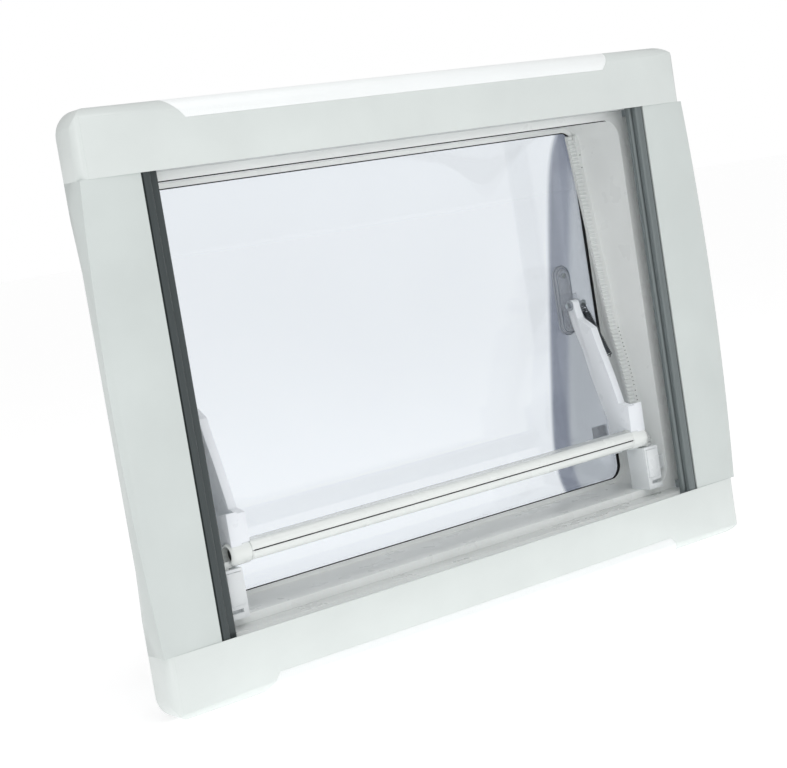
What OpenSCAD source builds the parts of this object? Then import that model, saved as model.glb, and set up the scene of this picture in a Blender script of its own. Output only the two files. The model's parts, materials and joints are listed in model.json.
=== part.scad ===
// Hinged rooflight with a folding operating bar.
// +Z runs up the frame, +X across it, and +Y points out of the wall or roof.
// The origin is the centre of the cut-out, on the face that seals against the outside.

/* [Opening] */
// Width of the clear opening between the side trims
opening_w = 678; // [640:1:720]
// Height of the clear opening between the top and bottom trims
opening_h = 464; // [440:1:500]
// Thickness of the wall or roof that the window is made for
wall_t = 42; // [38:1:46]

/* [Trim] */
// Width of the side trims where they meet the top and bottom trims
side_bar_w = 65; // [55:1:80]
// How far the outer edge of the side trims bows out at half height
side_bow = 9; // [4:1:14]
// Height of the top and bottom trims
end_bar_h = 68; // [60:1:80]
// How far the top and bottom trims bulge into the room at the middle
end_bulge = 5; // [2:1:7]
// Depth of the trims in front of the inner wall face
trim_depth = 34; // [34:1:40]
// Wall thickness of the moulded trims
trim_t = 2.5; // [2:0.1:3]
// Length of each light diffuser
light_len = 606; // [400:1:640]

/* [Dome] */
// Height of the outer dome above its rim
dome_rise = 48; // [30:1:60]
// Thickness of the acrylic sheets
pane_t = 3; // [2:0.5:4]
// Opening angle of the dome in degrees
open_angle = 35; // [30:1:36]

/* [Operating bar] */
// Height of the operating bar
bar_h = 20; // [16:1:24]
// Depth of the operating bar
bar_d = 24; // [20:1:26]
// Turn of the bar on the dome for each degree that the dome opens
fold_ratio = 2.55; // [2.5:0.01:2.6]
// Distance between teeth on the side racks
tooth_pitch = 4.8; // [4:0.1:6]

/* [Blinds] */
// Depth of each blind rail
rail_d = 6.8; // [6:0.1:7]

/* [Hidden] */

$fn = 64;
eps = 0.01;
gap = 0.3;                                  // air between pieces that move past each other
inf = 2000;

// Depths, measured along Y from the sealing face
room_y = -wall_t;                           // inner face of the wall
front_y = room_y - trim_depth;              // front of the side trims
half_w = opening_w / 2;
half_h = opening_h / 2;
trim_half_w = half_w + side_bar_w;
trim_half_h = half_h + end_bar_h;

// Reveal, the tunnel between the room and the dome
reveal_half_w = half_w - 6.5;
reveal_half_h = half_h - 9;
reveal_r = 22;
reveal_t = 2.5;
rim_half_w = 349;                           // the rim stays inside the cut-out
rim_half_h = half_h + 2.5;
rim_y = front_y + 40.3;                     // front edge of the reveal
lip_y = 40;                                 // outer end of the reveal's straight wall
lip_in = 5;                                 // the lip narrows the reveal by this much

// Outer frame
flange_w = 37;                              // how far the flange stands out from the tube
flange_t = 4;
cut_half_w = 350;                           // the cut-out that the frame drops into
cut_half_h = 250;
tube_half_w = cut_half_w - 10;              // inner face of the frame's tube
tube_half_h = cut_half_h - 18;
tube_t = 3;

// Dome
seal_y = lip_y + 2.5;
pane_y = seal_y + 5 + gap;                  // room face of the inner pane
pane_half_w = 343;
pane_half_h = 234;
rim_plane_y = pane_y + pane_t;              // underside of the outer pane's rim
dome_half_w = 350;
dome_half_h = 257;
hinge_z = 246;
hinge_y = 43;
hinge_r = 5;
hinge_pin_r = 3;
hinge_x = 215;
leaf_w = 30;

// Operating bar, arms and racks
pivot_z = 8.5;
pivot_y = 28;
pivot_r = 3;
axle_z = -170;
axle_y = -11.6;
axle_r = 2.5;
bar_z = -158.6;
bar_front_y = front_y + 26.5;
bar_y = bar_front_y + bar_d / 2;
hub_in = 272;                               // the bar ends where its collars begin
hub_out = 291;
hub_r = 12.5;
arm_in = hub_in;
arm_t = 10;
box_in = arm_in + arm_t;
box_out = 294.5;
rack_in = 316.5;
rack_out = 327.2;
rack_low = -176;
rack_high = 214;
rack_t = 3;
tooth_h = 1.6;
pinion_in = 318;
pinion_out = 326.6;
pinion_teeth = 12;
pinion_tip_r = 10.2;
pinion_root_r = 8.2;

// Blinds
near_y = front_y + 0.8;                     // plane of the blackout blind
far_y = near_y + rail_d + 0.6;              // plane of the insect screen
near_in = half_w - 11.5;                    // room-side profiles reach in to here
far_in_left = half_w - 23;                  // the insect screen's rail reaches in further
far_in_right = half_w - 15.5;               // and so does the profile that it lands on
rail_tail = half_w + 8;
stack_out = trim_half_w - 6;
rail_top = half_h + 5;
stack_top = half_h - 0.5;

// ---------- helpers ----------

// Extrudes a front-view outline (X across, Z up) from depth y0 to depth y1
module slab(y0, y1) {
    translate([0, y1, 0]) rotate([90, 0, 0]) linear_extrude(y1 - y0) children();
}

// Extrudes a side-view outline (Y first, Z second) from x0 to x1
module along_x(x0, x1) {
    translate([x0, 0, 0]) rotate([90, 0, 90]) linear_extrude(x1 - x0) children();
}

// Box between two corners
module block(a, b) {
    translate(a) cube(b - a);
}

// Rounded rectangle from half sizes, made of squares and true circles
module rounded(hw, hh, r) {
    square([2 * hw, 2 * (hh - r)], center = true);
    square([2 * (hw - r), 2 * hh], center = true);
    for (sx = [-1, 1], sy = [-1, 1])
        translate([sx * (hw - r), sy * (hh - r)]) circle(r);
}

module ring(hw, hh, r, t) {
    difference() {
        rounded(hw + t, hh + t, r + t);
        rounded(hw, hh, r);
    }
}

// Cylinder along X, Y or Z from a start point
module rod_x(x0, x1, y, z, r) {
    translate([x0, y, z]) rotate([0, 90, 0]) cylinder(h = x1 - x0, r = r);
}
module rod_y(x, y0, y1, z, r) {
    translate([x, y1, z]) rotate([90, 0, 0]) cylinder(h = y1 - y0, r = r);
}
module rod_z(x, y, z0, z1, r) {
    translate([x, y, z0]) cylinder(h = z1 - z0, r = r);
}

// Right-hand piece as drawn, or its mirror image on the left
module side(s) {
    if (s > 0) children();
    else mirror([1, 0, 0]) children();
}

// ---------- trims and lights ----------

// Section of the top trim, grown inwards by d: straight front, quarter-round outer edge
module end_section(d) {
    r = 24 - d;
    y0 = front_y - end_bulge + d;
    z0 = half_h + d;
    z1 = trim_half_h - d;
    y1 = room_y + (d > 0 ? 2 : 0);
    translate([y0, z0]) square([y1 - y0, z1 - r - z0]);
    translate([y0 + r, z0]) square([y1 - y0 - r, z1 - z0]);
    translate([y0 + r, z1 - r]) circle(r);
}

// Plan of the top trim: a shallow arc along the front and rounded ends
module end_plan(d) {
    hw = trim_half_w - d;
    arc_r = (pow(hw, 2) + pow(end_bulge, 2)) / (2 * end_bulge);
    end_r = 10;
    intersection() {
        translate([0, front_y - end_bulge + d + arc_r]) circle(arc_r, $fn = 4000);
        union() {
            translate([-hw, front_y + end_r]) square([2 * hw, -front_y]);
            translate([-hw + end_r, front_y - 20]) square([2 * (hw - end_r), 60]);
            for (s = [-1, 1]) translate([s * (hw - end_r), front_y + end_r + d]) circle(end_r);
        }
    }
}

// Front outline of the trims as a set, with rounded outer corners
module trim_outline(d) {
    rounded(trim_half_w - d, trim_half_h - d, 26 - d);
}

module end_solid(d) {
    intersection() {
        along_x(-trim_half_w, trim_half_w) end_section(d);
        translate([0, 0, half_h - 10]) linear_extrude(end_bar_h + 20) end_plan(d);
        slab(front_y - 20, room_y + (d > 0 ? 2 : 0)) trim_outline(d);
    }
}

// The part of the rounded edge that lets the light out, with slanted ends
module light_zone(d) {
    low_z = trim_half_h - 21 + d;
    half = light_len / 2 - d;
    slab(front_y - 20, room_y - 10)
        polygon([[-half, trim_half_h + 5], [-half + 22, low_z], [half - 22, low_z], [half, trim_half_h + 5]]);
}

module end_bar() {
    difference() {
        end_solid(0);
        end_solid(trim_t);
        light_zone(0);
        // the blind rails run in through the inner wall
        block([-half_w - 12, near_y - 0.6, half_h - 1], [half_w + 12, room_y + 1, half_h + 9]);
    }
}

module diffuser() {
    difference() {
        intersection() {
            end_solid(0);
            light_zone(0.15);
        }
        end_solid(trim_t);
    }
}

// Circuit strip with its row of light chips, tilted to face the diffuser
module light_strip() {
    strip_half = light_len / 2 - 34;
    chip_n = 30;
    foot_z = trim_half_h - trim_t;
    along_x(-strip_half, strip_half)
        polygon([[front_y + 19, foot_z - 17], [front_y + 20.5, foot_z - 17.5],
                 [room_y - 5, foot_z], [room_y - 7.5, foot_z]]);
    translate([0, front_y + 18, trim_half_h - 19]) rotate([45, 0, 0]) {
        translate([-strip_half, -5, -1.6]) cube([2 * strip_half, 10, 1.6]);
        for (i = [0 : chip_n - 1])
            translate([-strip_half + (i + 0.5) * 2 * strip_half / chip_n - 2.5, -2.5, -eps])
                cube([5, 5, 1.4]);
    }
}

// Solid of a side trim, grown inwards by d: a slanted outer side whose front edge bows out
side_lean = 9;
module side_solid(d) {
    bow_r = (pow(half_h, 2) + pow(side_bow, 2)) / (2 * side_bow);
    hw = trim_half_w + side_bow;
    open = d > 0 ? 20 : 0;
    intersection() {
        translate([0, 0, -half_h - open]) linear_extrude(opening_h + 2 * open)
            polygon([[half_w - open, front_y + d], [hw - d, front_y + d],
                     [hw - side_lean - d, room_y + open], [half_w - open, room_y + open]]);
        slab(front_y - 1, room_y + 1 + open)
            translate([hw - bow_r, 0]) circle(bow_r - d, $fn = 1200);
    }
}

module side_bar() {
    difference() {
        side_solid(0);
        side_solid(trim_t);
    }
}

module trim_top_bar() { color("#d9e2df") end_bar(); }
module trim_bottom_bar() { color("#e4e9e8") mirror([0, 0, 1]) end_bar(); }
module trim_left_bar() { color("#ced7d6") side(-1) side_bar(); }
module trim_right_bar() { color("#d2d8da") side(1) side_bar(); }
module top_light_diffuser() { color("#fafaf8") diffuser(); }
module bottom_light_diffuser() { color("#fafaf8") mirror([0, 0, 1]) diffuser(); }
module top_light_strip() { color("#eef0e4") light_strip(); }
module bottom_light_strip() { color("#eef0e4") mirror([0, 0, 1]) light_strip(); }

// Socket for the lights' supply, at the back of the top trim
inlet_x = 370;
inlet_z = trim_half_h - trim_t - 7;
inlet_r = 2.8;
inlet_depth = 10;
module power_inlet() {
    color("#2c2f30") difference() {
        block([inlet_x - 7, room_y - 16, inlet_z - 7], [inlet_x + 7, room_y, inlet_z + 7]);
        rod_y(inlet_x, room_y - inlet_depth, room_y + 1, inlet_z, inlet_r);
    }
}

// Brackets that tie the trims to the reveal at its four corners
bracket_x = half_w + 4;
module corner_brackets() {
    color("#b9bdc0")
    for (sx = [-1, 1], sz = [-1, 1]) scale([sx, 1, sz]) difference() {
        union() {
            block([bracket_x, room_y - 4, half_h - 8], [bracket_x + 3, rim_y, half_h + 12]);
            block([bracket_x, room_y - 4, half_h + trim_t + gap],
                  [trim_half_w - trim_t - gap, room_y - 1.5, half_h + 30]);
        }
        rod_y(trim_half_w - 30, room_y - 5, room_y, half_h + 18, 2.2);
    }
}

// ---------- fixed frame ----------

module reveal_frame() {
    lip_hw = reveal_half_w - lip_in;
    lip_hh = reveal_half_h - lip_in;
    color("#dfe3e2") union() {
        slab(rim_y, lip_y + 2.5) ring(reveal_half_w, reveal_half_h, reveal_r, reveal_t);
        slab(rim_y, rim_y + 2.5) difference() {
            rounded(rim_half_w, rim_half_h, 6);
            rounded(reveal_half_w, reveal_half_h, reveal_r);
        }
        slab(lip_y, lip_y + 2.5) ring(lip_hw, lip_hh, reveal_r - lip_in, lip_in + 1);
    }
}

module outer_frame() {
    color("#c9cdd0") union() {
        slab(0, flange_t) ring(tube_half_w, tube_half_h, 24, flange_w);
        slab(-30, lip_y - 4) ring(tube_half_w, tube_half_h, 24, tube_t);
        slab(lip_y - 4, lip_y) difference() {
            rounded(tube_half_w + tube_t, tube_half_h + tube_t, 27);
            rounded(reveal_half_w + reveal_t + 0.2, reveal_half_h + reveal_t + 0.2, reveal_r + reveal_t);
        }
    }
}

module dome_seal() {
    color("#1b1d20")
        slab(seal_y, seal_y + 5) ring(reveal_half_w - lip_in + 0.5, reveal_half_h - lip_in + 0.5, 17, 6.5);
}

clamp_x = [-210, 0, 210];
module frame_clamps() {
    leg_z = tube_half_h + tube_t;
    color("#9aa0a3")
    for (s = [-1, 1], x = clamp_x) scale([1, 1, s]) difference() {
        union() {
            block([x - 14, room_y - 6, leg_z], [x + 14, -8, leg_z + 3]);
            block([x - 14, room_y - 6, leg_z], [x + 14, room_y - 3, leg_z + 32]);
            block([x - 14, room_y - 6, leg_z + 28], [x + 14, room_y, leg_z + 32]);
        }
        rod_z(x, -20, leg_z - 1, leg_z + 4, 2.2);
    }
}

module clamp_screws() {
    leg_z = tube_half_h + tube_t;
    color("#8c9093")
    for (s = [-1, 1], x = clamp_x) scale([1, 1, s]) union() {
        rod_z(x, -20, leg_z + eps, leg_z + 3 + eps, 2.1);
        rod_z(x, -20, leg_z + 3, leg_z + 5.4, 4.2);
    }
}

// Two ears on each bracket carry the hinge pin
ear_t = 5;
module hinge_brackets() {
    color("#b4b9bc")
    for (s = [-1, 1]) difference() {
        union() {
            block([s * hinge_x - 26, flange_t, hinge_z - 9], [s * hinge_x + 26, flange_t + 3, hinge_z + 16]);
            for (e = [-1, 1]) {
                x0 = s * hinge_x + e * (leaf_w / 2 + gap + ear_t / 2) - ear_t / 2;
                block([x0, flange_t, hinge_z - hinge_r], [x0 + ear_t, hinge_y, hinge_z + hinge_r]);
                rod_x(x0, x0 + ear_t, hinge_y, hinge_z, hinge_r);
            }
        }
        rod_x(s * hinge_x - 40, s * hinge_x + 40, hinge_y, hinge_z, hinge_pin_r + 0.05);
    }
}

module hinge_pins() {
    color("#85898c")
    for (s = [-1, 1]) rod_x(s * hinge_x - 22, s * hinge_x + 22, hinge_y, hinge_z, hinge_pin_r);
}

// Where the pinion's axle is, as [z, y], once the dome has opened by t degrees:
// it turns out with the dome about the hinge and folds back about the arm's pivot
function turned(p, c, t) = let (d = p - c) c + [d[0] * cos(t) + d[1] * sin(t), d[1] * cos(t) - d[0] * sin(t)];
function axle_at(t) =
    let (hinge = [hinge_z, hinge_y], pivot = turned([pivot_z, pivot_y], hinge, t))
    turned(turned([axle_z, axle_y], hinge, t), pivot, -fold_ratio * t);

// Room side of the rack: it follows the pinion's tips to the end of its travel, then runs on straight
tooth_play = 1.5;
rack_slope = 0.11;
travel = [for (i = [0 : 14]) let (p = axle_at(open_angle * i / 14)) [p[0], p[1] + pinion_tip_r + tooth_play]];
travel_end = travel[14];
function rack_y(z) = z > travel_end[0] ? travel_end[1] + (z - travel_end[0]) * rack_slope : lookup(z, travel);

module rack() {
    n = floor((rack_high - rack_low) / tooth_pitch);
    z = [for (i = [0 : n]) rack_low + i * tooth_pitch];
    teeth = [for (i = [0 : n - 1])
        each [[rack_y(z[i]) + tooth_h, z[i] + 0.6], [rack_y(z[i]), z[i] + 1.7],
              [rack_y(z[i]), z[i + 1] - 1.7], [rack_y(z[i]) + tooth_h, z[i + 1] - 0.6]]];
    back = [for (i = [n : -1 : 0]) [min(rack_y(z[i]) + tooth_h + rack_t, seal_y - 0.5), z[i]]];
    web = [for (i = [0 : n]) [min(rack_y(z[i]) + 1, lip_y - 6), z[i]]];
    web_back = [for (i = [n : -1 : 0]) [min(rack_y(z[i]) + tooth_h + rack_t + 4, lip_y - 0.4), z[i]]];
    intersection() {
        along_x(rack_in, rack_out) polygon(concat(teeth, back));
        slab(-60, 60) rounded(reveal_half_w - lip_in - gap, reveal_half_h - lip_in - gap, reveal_r - lip_in);
    }
    intersection() {
        along_x(rack_out - 1, reveal_half_w) polygon(concat(web, web_back));
        slab(-60, 60) rounded(reveal_half_w, reveal_half_h, reveal_r);
    }
}

module left_rack() { color("#c3c7c8") side(-1) rack(); }
module right_rack() { color("#c3c7c8") side(1) rack(); }

// ---------- blinds ----------

// Channel that guides both rails, with the shelf that closes the view behind it
module blind_guide() {
    y0 = near_y - 0.6;
    y1 = far_y + rail_d + 1;
    color("#d3d7d8") difference() {
        union() {
            block([-half_w - 11, y0, half_h + 0.2], [half_w + 11, y1, half_h + 8]);
            block([-half_w - 1, y1 - eps, half_h + 0.2], [half_w + 1, rim_y - 0.2, half_h + 2]);
        }
        block([-inf, near_y - 0.3, 0], [inf, far_y + rail_d + 0.3, rail_top + 0.4]);
    }
}

module top_blind_guide() { blind_guide(); }
module bottom_blind_guide() { mirror([0, 0, 1]) blind_guide(); }

// Plan of a profile in the room-side plane: a rounded front and a tail behind the trim
module near_plan() {
    r = 3.4;
    w = half_w - near_in - 0.5;
    translate([near_in + r, near_y + r]) circle(r);
    translate([near_in, near_y + r]) square([r, rail_d - r]);
    translate([near_in + r, near_y]) square([w - r - 2, rail_d]);
    translate([near_in + r, near_y + 1.6]) square([w - r, rail_d - 1.6]);
    translate([near_in + r, near_y + trim_t + 0.4]) square([rail_tail - near_in - r, rail_d - trim_t - 0.4]);
}

// Plan of a profile in the plane behind it
module far_plan(far_in) {
    r = 3.4;
    translate([far_in + r, far_y + r]) circle(r);
    translate([far_in, far_y + r]) square([r, rail_d - r]);
    translate([far_in + r, far_y]) square([rail_tail - far_in - r, rail_d]);
}

module rail_solid() {
    translate([0, 0, -rail_top]) linear_extrude(2 * rail_top) children();
}

module left_landing_profile() { color("#323838") side(-1) rail_solid() near_plan(); }
module right_landing_profile() { color("#616767") side(1) rail_solid() far_plan(far_in_right); }
module blackout_rail() { color("#42474a") side(1) rail_solid() near_plan(); }
module screen_rail() { color("#363c3c") side(-1) rail_solid() far_plan(far_in_left); }

// Folded stack of pleats, behind the side trim
pleat_n = 24;
module pleat_stack(y, d) {
    x0 = rail_tail + 0.2;
    x1 = stack_out - 3;
    step = (x1 - x0) / pleat_n;
    t = 0.45;
    function fold_y(i) = y + (i % 2 == 0 ? 0.3 : d - 0.3 - t);
    front = [for (i = [0 : pleat_n]) [x0 + i * step, fold_y(i)]];
    rear = [for (i = [pleat_n : -1 : 0]) [x0 + i * step, fold_y(i) + t]];
    translate([0, 0, -stack_top]) linear_extrude(2 * stack_top) polygon(concat(front, rear));
}

module blackout_fabric() {
    skin = trim_t + 0.4;
    color("#8b8f92") side(1) pleat_stack(near_y + skin, rail_d - skin);
}
module screen_fabric() { color("#4a4f52") side(-1) pleat_stack(far_y, rail_d); }

module anchor(y, d) {
    block([stack_out - 3, y, -stack_top], [stack_out, y + d, stack_top]);
}
module blackout_anchor() { color("#a3a8ab") side(1) anchor(near_y + trim_t + 0.4, rail_d - trim_t - 0.4); }
module screen_anchor() { color("#a3a8ab") side(-1) anchor(far_y, rail_d); }

// ---------- locks in the bottom corners ----------

lock_in = 287;
lock_out = 309;
lock_top = -172;
lock_x = (lock_in + lock_out) / 2;
lock_low = -reveal_half_h;
lock_front = front_y + 27.6;
lock_back = front_y + 58;
plate_t = 4;
button_low = lock_low + 14;
button_travel = 3;
slot_z = lock_low + 6;
lug_y = lock_back - 13;
pocket_y = lock_front + plate_t + button_travel + 8;

module lock_housing() {
    color("#d8dcdf") difference() {
        intersection() {
            union() {
                block([lock_in, lock_front, lock_low], [lock_out, lock_back, lock_top]);
                block([lock_out - eps, lug_y, lock_low + 18], [reveal_half_w, lock_back, lock_low + 34]);
            }
            slab(lock_front - 5, lock_back + 5) rounded(reveal_half_w, reveal_half_h, reveal_r);
        }
        // pocket for the button and its spring
        block([lock_in + 2, lock_front - 1, button_low], [lock_out - 2, pocket_y, lock_top - 3]);
        // slot that takes the tongue on the operating bar
        block([tongue_in - 0.8, bar_y - 6, lock_top - 3 - eps], [tongue_out + 0.8, bar_y + 6, lock_top + 1]);
        // finger slot under the button
        block([lock_in + 6, lock_front - 1, slot_z], [lock_out + 1, lock_front + 7, slot_z + 4]);
    }
}

module lock_button() {
    color("#e2e6e8") union() {
        block([lock_in + 2.3, lock_front - 1.2, button_low + 0.3],
              [lock_out - 2.3, lock_front + plate_t, lock_top - 3.3]);
        rod_y(lock_x, lock_front + plate_t - eps, lock_front + plate_t + 2, button_low + 12, 2.4);
    }
}

// Coil between the button and the back of its pocket
module button_spring() {
    coil_r = 3.4;
    wire_r = 0.35;
    turns = 4;
    y0 = lock_front + plate_t + wire_r + 0.05;
    len = button_travel + 8 - 2 * wire_r - 0.1;
    color("#7d8184")
        coil([lock_x, y0, button_low + 12], [0, len, 0], coil_r, wire_r, turns, 12, 6);
}

module housing_screws() {
    color("#8c9093")
    for (s = [-1, 1]) side(s) {
        rod_y((lock_out + reveal_half_w) / 2, lug_y - 2, lug_y, lock_low + 26, 3.2);
    }
}

module left_lock_housing() { side(-1) lock_housing(); }
module right_lock_housing() { side(1) lock_housing(); }
module left_lock_button() { side(-1) lock_button(); }
module right_lock_button() { side(1) lock_button(); }
module left_button_spring() { side(-1) button_spring(); }
module right_button_spring() { side(1) button_spring(); }

// Helix of round wire from a start point along a straight line, as one closed tube
module coil(start, run, coil_r, wire_r, turns, per_turn, sides) {
    len = norm(run);
    d = run / len;
    u = norm(cross(d, [1, 0, 0])) > 0.5 ? cross(d, [1, 0, 0]) / norm(cross(d, [1, 0, 0])) : [0, 0, 1];
    v = cross(d, u);
    n = turns * per_turn;
    pts = [for (i = [0 : n], j = [0 : sides - 1])
        let (a = 360 * i / per_turn, b = 360 * j / sides,
             c = start + d * (len * i / n) + coil_r * (cos(a) * u + sin(a) * v),
             rad = cos(a) * u + sin(a) * v)
        c + wire_r * (cos(b) * rad + sin(b) * d)];
    caps = [[for (j = [0 : sides - 1]) j], [for (j = [sides - 1 : -1 : 0]) n * sides + j]];
    skin = [for (i = [0 : n - 1], j = [0 : sides - 1])
        let (a = i * sides + j, b = i * sides + (j + 1) % sides)
        each [[a, a + sides, b + sides], [a, b + sides, b]]];
    polyhedron(pts, concat(caps, skin), convexity = 10);
}

// ---------- dome ----------

// Superellipse point at angle a, for half sizes hw and hh
function se(a, hw, hh, p) = let (c = cos(a), s = sin(a))
    [sign(c) * hw * pow(abs(c), 2 / p), sign(s) * hh * pow(abs(s), 2 / p)];

// Height of the dome's surface over its rim at radius u (0 centre, 1 rim)
function dome_h(u) = u > 0.965 ? 0 : dome_rise * (1 - pow(u / 0.965, 7)) ;

module outer_pane() {
    rings = [0.2, 0.4, 0.56, 0.7, 0.8, 0.87, 0.92, 0.95, 0.965, 1];
    steps = 72;
    nr = len(rings);
    top = [for (u = rings, j = [0 : steps - 1])
        let (p = se(360 * (j + 0.5) / steps, dome_half_w * u, dome_half_h * u, 9))
        [p[0], rim_plane_y + pane_t + dome_h(u), p[1]]];
    low = [for (u = rings, j = [0 : steps - 1])
        let (v = u > 0.965 ? u : u * 0.988,
             p = se(360 * (j + 0.5) / steps, dome_half_w * v, dome_half_h * v, 9))
        [p[0], rim_plane_y + dome_h(u), p[1]]];
    m = nr * steps;
    pts = concat(top, low, [[0, rim_plane_y + pane_t + dome_rise, 0], [0, rim_plane_y + dome_rise, 0]]);
    function q(a, b, c, d) = [[a, b, c], [a, c, d]];
    faces = concat(
        [for (j = [0 : steps - 1]) [2 * m, (j + 1) % steps, j]],
        [for (j = [0 : steps - 1]) [2 * m + 1, m + j, m + (j + 1) % steps]],
        [for (i = [0 : nr - 2], j = [0 : steps - 1]) let (k = (j + 1) % steps)
            each q(i * steps + j, i * steps + k, (i + 1) * steps + k, (i + 1) * steps + j)],
        [for (i = [0 : nr - 2], j = [0 : steps - 1]) let (k = (j + 1) % steps)
            each q(m + i * steps + k, m + i * steps + j, m + (i + 1) * steps + j, m + (i + 1) * steps + k)],
        [for (j = [0 : steps - 1]) let (k = (j + 1) % steps, i = nr - 1)
            each q(i * steps + j, i * steps + k, m + i * steps + k, m + i * steps + j)]);
    color("#cfd6dc") polyhedron(pts, faces, convexity = 6);
}

module inner_pane() {
    color("#dfe6ec") slab(pane_y, rim_plane_y) rounded(pane_half_w, pane_half_h, 20);
}

module hinge_leaves() {
    color("#b4b9bc")
    for (s = [-1, 1]) difference() {
        union() {
            rod_x(s * hinge_x - leaf_w / 2, s * hinge_x + leaf_w / 2, hinge_y, hinge_z, hinge_r);
            block([s * hinge_x - leaf_w / 2, hinge_y, hinge_z - 3],
                  [s * hinge_x + leaf_w / 2, rim_plane_y, hinge_z + 3]);
            block([s * hinge_x - leaf_w / 2, rim_plane_y - 2.5, hinge_z - 10],
                  [s * hinge_x + leaf_w / 2, rim_plane_y, hinge_z + 8]);
        }
        rod_x(s * hinge_x - 40, s * hinge_x + 40, hinge_y, hinge_z, hinge_pin_r);
    }
}

// Clear pivot mount on the inner pane: an oval pad, two ears and a screw seat
mount_x = 281;
mount_half_w = 14;
mount_low = -29;
mount_high = 58;
pad_t = 5;
ear_in = arm_in - 3.8;
ear_out = arm_in + arm_t + 3.8;
mount_screw_z = 45;

module oval(r) {
    z0 = mount_low + mount_half_w;
    z1 = mount_high - mount_half_w;
    translate([mount_x, z0]) circle(r);
    translate([mount_x, z1]) circle(r);
    translate([mount_x - r, z0]) square([2 * r, z1 - z0]);
}

module dome_mount() {
    color("#b9c0c8") difference() {
        union() {
            slab(pane_y - 2, pane_y) oval(mount_half_w);
            slab(pane_y - pad_t, pane_y - 2 + eps) oval(mount_half_w - 2.5);
            for (x0 = [ear_in, ear_out - 3.4]) {
                block([x0, pivot_y, pivot_z - 6.5], [x0 + 3.4, pane_y - 1, pivot_z + 14]);
                rod_x(x0, x0 + 3.4, pivot_y, pivot_z, 6.5);
            }
            rod_y(mount_x, pane_y - 8, pane_y - 1, mount_screw_z, 7);
        }
        rod_x(ear_in - 1, ear_out + 1, pivot_y, pivot_z, pivot_r + 0.05);
        rod_y(mount_x, pane_y - 9, pane_y - 4, mount_screw_z, 3.6);
        rod_y(mount_x, pane_y - 5, pane_y + eps, mount_screw_z, 2.1);
    }
}

module left_dome_mount() { side(-1) dome_mount(); }
module right_dome_mount() { side(1) dome_mount(); }

module mount_screws() {
    color("#63676a")
    for (s = [-1, 1]) side(s) union() {
        rod_y(mount_x, pane_y - 4 - eps, pane_y - eps, mount_screw_z, 2);
        difference() {
            rod_y(mount_x, pane_y - 6.4, pane_y - 4, mount_screw_z, 3.5);
            rod_y(mount_x, pane_y - 7, pane_y - 5.2, mount_screw_z, 1.3);
        }
    }
}

// Small clear keepers on the pane behind the hubs
module dome_keepers() {
    color("#bcc2ca")
    for (s = [-1, 1]) side(s) union() {
        block([295, pane_y - 2.5, -167], [318, pane_y, -149]);
        block([299, pane_y - 8, -165], [302, pane_y - 2, -151]);
        block([311, pane_y - 8, -165], [314, pane_y - 2, -151]);
    }
}

// ---------- operating bar, arms and pinions ----------

tongue_in = 298;
tongue_out = 302;

// Side view of the arm: boss at the dome pivot, elbow, straight run and foot
module arm_outline() {
    difference() {
        union() {
            translate([pivot_y, pivot_z]) circle(6.4);
            polygon([[pivot_y + 5.8, pivot_z - 3], [pivot_y - 6.2, pivot_z - 1],
                     [18, -8], [-3, -21], [-9, -42], [-17, -64], [-24, -86], [-32, -114],
                     [-47, -118], [-47, -148], [-14, -176], [-6, -173],
                     [-7, -160], [-9, -134], [0, -109], [10, -78], [17, -47], [28, -20]]);
            translate([axle_y, axle_z]) circle(6.5);
        }
        translate([pivot_y, pivot_z]) circle(pivot_r + 0.05);
        translate([axle_y, axle_z]) circle(axle_r);
    }
}

module box_outline() {
    polygon([[-47, -116], [-27, -119], [-16, -132], [-14, -150], [-14, -166],
             [-26, -166], [-46, -158], [-47, -150]]);
}

module arm() {
    difference() {
        union() {
            along_x(arm_in, arm_in + arm_t) arm_outline();
            difference() {
                along_x(box_in - eps, box_out) box_outline();
                rod_x(box_in - 1, box_out + 1, axle_y, axle_z, 7.5);
            }
            along_x(box_in - eps, box_out + 4) difference() {
                translate([axle_y, axle_z]) circle(5.5);
                translate([axle_y, axle_z]) circle(axle_r);
            }
        }
        rod_x(hub_in - 6, box_out + 10, bar_y, bar_z, hub_r + eps);
    }
}

module left_arm() { color("#ccd1d6") side(-1) arm(); }
module right_arm() { color("#ccd1d6") side(1) arm(); }

// Shaft on which the arm turns, held by the arm
module pivot_pins() {
    color("#8c9093")
    for (s = [-1, 1]) side(s) union() {
        rod_x(ear_in - 1.5, ear_out + 8, pivot_y, pivot_z, pivot_r);
        rod_x(ear_out + 8 - eps, ear_out + 9.5, pivot_y, pivot_z, pivot_r + 1);
    }
}

spring_r = 4.4;
spring_x = ear_out + 5.8;
spring_end_y = -9;
spring_end_z = -66;
module arm_spring() {
    a = [spring_x, pivot_y, pivot_z];
    b = [spring_x, spring_end_y, spring_end_z];
    d = (b - a) / norm(b - a);
    color("#4c5053") union() {
        coil(a + d * 9, b - a - d * 14, spring_r, 0.75, 20, 10, 5);
    }
}
module left_arm_spring() { side(-1) arm_spring(); }
module right_arm_spring() { side(1) arm_spring(); }

// The operating bar is two mouldings that meet along a seam
seam_t = 0.8;
seam_deep = 6;
module bar_section() {
    r = 6;
    y0 = bar_y - bar_d / 2;
    translate([y0 + r, bar_z]) {
        square([2 * r, bar_h - 2 * r], center = true);
        for (s = [-1, 1]) translate([0, s * (bar_h / 2 - r)]) circle(r);
    }
    translate([y0 + r, bar_z - bar_h / 2]) square([bar_d - r - 1, bar_h]);
    translate([y0 + r, bar_z - bar_h / 2 + 1]) square([bar_d - r, bar_h - 2]);
}

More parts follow.
